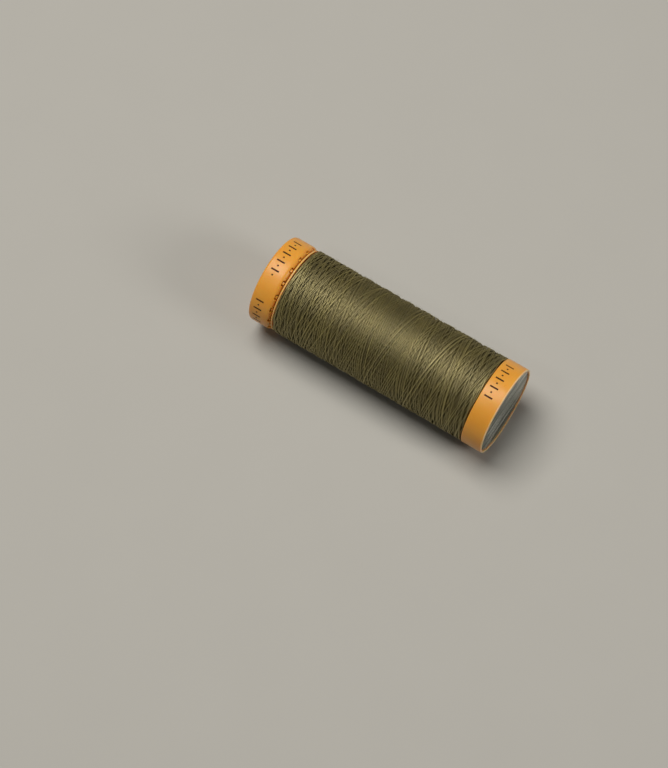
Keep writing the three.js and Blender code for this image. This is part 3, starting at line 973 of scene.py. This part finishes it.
on_winding = winding_radius + END_LIFT
over_rim = clamp_flange_radius + END_LIFT
in_nip = TOOTH_TOP_RADIUS - END_BELOW_TOOTH_TOP
nip_x = core_start - NIP / 2
flange_inner = core_start + CLAMP_FLANGE_THICK
end_points = [(END_FROM_X + (flange_inner - END_FROM_X) * k / 5, on_winding,
               END_FROM_ANGLE + (END_OVER_ANGLE - END_FROM_ANGLE) * k / 5) for k in range(6)]
end_points += [(core_start + CLAMP_FLANGE_THICK / 2, over_rim + 0.05, END_OVER_ANGLE + 2.5),
               (nip_x, over_rim - 0.12, END_OVER_ANGLE + 5), (nip_x, in_nip + 0.1, END_OVER_ANGLE + 8.5)]
end_points += [(nip_x, in_nip, degrees) for degrees in range(END_OVER_ANGLE + 13, END_LAST_ANGLE + 1, 5)]
end_x, end_radius, end_angle = np.array(end_points).T
fine = np.linspace(0, len(end_points) - 1, END_POINTS_BETWEEN * len(end_points))
knots = np.arange(len(end_points))
smoothing = np.array([0.25, 0.5, 0.25])


def eased_line(values):
    """A row of values drawn finely and smoothed, its two ends kept."""
    line = np.interp(fine, knots, values)
    for _ in range(END_EASINGS):
        line[1:-1] = np.convolve(line, smoothing, mode="valid")
    return line


thread_end_path = path_mesh("thread_end", eased_line(end_x), np.radians(eased_line(end_angle)),
                            eased_line(end_radius), np.full(len(fine), END_SHADE))
thread_end = made_by_nodes("thread_end", thread_end_path, round_thread, {
    "Radius": END_RADIUS * MM, "Sides": END_SIDES, "Material": thread_material})
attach(thread_end, "spool")
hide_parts("thread_tail")


# ---------------------------------------------------------------------------
# Loose fibres: the short cotton hairs that stand off the outer passes and soften the
# winding's outline.
# ---------------------------------------------------------------------------
FIBRES_PER_SQUARE_METRE = 1.1e6
FIBRE_RADIUS = 0.008
FIBRE_LENGTH = 0.75
FIBRE_MARGIN = 0.3
FIBRE_SKIN_SIDES = 48
FIBRE_SEED = 5


def fibre_tree():
    """Scatters short bent hairs over a surface, leaning any way and mostly lying down."""
    tree, given, out = new_tree("loose_fibres", [
        ("Density", "Float"), ("Length", "Float"), ("Radius", "Float"), ("Seed", "Int"),
        ("Material", "Material")])
    scatter = add_node(tree, "GeometryNodeDistributePointsOnFaces", {"Mesh": given["Geometry"],
                       "Density": given["Density"], "Seed": given["Seed"]})
    bent = add_node(tree, "GeometryNodeCurvePrimitiveBezierSegment", {
        "Resolution": 4, "Start": (0, 0, 0), "Start Handle": (0.0, 0.0, 0.35),
        "End Handle": (0.5, 0.1, 0.40), "End": (1.0, -0.1, 0.12)})
    scale = add_node(tree, "ShaderNodeCombineXYZ", {axis: given["Length"] for axis in "XYZ"})
    sized = add_node(tree, "GeometryNodeTransform", {"Geometry": bent.outputs["Curve"],
                     "Scale": scale.outputs["Vector"]})
    ring = add_node(tree, "GeometryNodeCurvePrimitiveCircle", {"Resolution": 3, "Radius": given["Radius"]})
    hair = add_node(tree, "GeometryNodeCurveToMesh", {"Curve": sized.outputs["Geometry"],
                    "Profile Curve": ring.outputs["Curve"], "Fill Caps": True})
    lean_spin = add_node(tree, "FunctionNodeRandomValue", {
        "Min": (-0.5, -0.5, 0.0), "Max": (0.5, 0.5, 6.283), "Seed": given["Seed"]},
        data_type="FLOAT_VECTOR")
    lean = add_node(tree, "FunctionNodeEulerToRotation", {"Euler": lean_spin.outputs["Value"]})
    turn = add_node(tree, "FunctionNodeRotateRotation", {"Rotation": scatter.outputs["Rotation"],
                    "Rotate By": lean.outputs["Rotation"]}, rotation_space="LOCAL")
    amount = add_node(tree, "FunctionNodeRandomValue", {2: 0.4, 3: 1.5, "Seed": given["Seed"]},
                      data_type="FLOAT")
    placed = add_node(tree, "GeometryNodeInstanceOnPoints", {"Points": scatter.outputs["Points"],
                      "Instance": hair.outputs["Mesh"], "Rotation": turn.outputs["Rotation"],
                      "Scale": amount.outputs[1]})
    finish_tree(tree, out, placed.outputs["Instances"], given["Material"])
    return tree


def fibre_material():
    """Single cotton fibres: pale olive and faintly see-through."""
    material, tree, place = new_material("cotton_fibre")
    colour = blend(tree, noise(tree, place, 400.0), OLIVE, OLIVE_PALE)
    surface(tree, {"Base Color": colour, "Roughness": 0.6, "Transmission Weight": 0.15})
    return material


def is_inner(face):
    """Whether a face of the thin shell that the fibres grow on is inside it or at its ends."""
    middle = face.calc_center_median()
    outward = middle - Vector((middle.x, 0, AXIS_HEIGHT))
    return face.normal.dot(outward) < 0 or abs(face.normal.x) > 0.5


skin_start, skin_end = winding_start + FIBRE_MARGIN, winding_end - FIBRE_MARGIN
skin_outside, skin_inside = winding_radius - 0.02, winding_radius - 0.03
fibre_skin = turned([(skin_start, skin_outside), (skin_end, skin_outside),
                     (skin_end, skin_inside), (skin_start, skin_inside)], FIBRE_SKIN_SIDES)
bmesh.ops.delete(fibre_skin, geom=[face for face in fibre_skin.faces if is_inner(face)], context="FACES")
skin_mesh = bpy.data.meshes.new("fibre_skin")
fibre_skin.to_mesh(skin_mesh)
fibre_skin.free()
fibres = made_by_nodes("loose_fibres", skin_mesh, fibre_tree(), {
    "Density": FIBRES_PER_SQUARE_METRE, "Length": FIBRE_LENGTH * MM, "Radius": FIBRE_RADIUS * MM,
    "Seed": FIBRE_SEED, "Material": fibre_material()})
for vertex in fibres.data.vertices:
    vertex.co.z = max(vertex.co.z, FIBRE_RADIUS * MM)
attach(fibres, "spool")
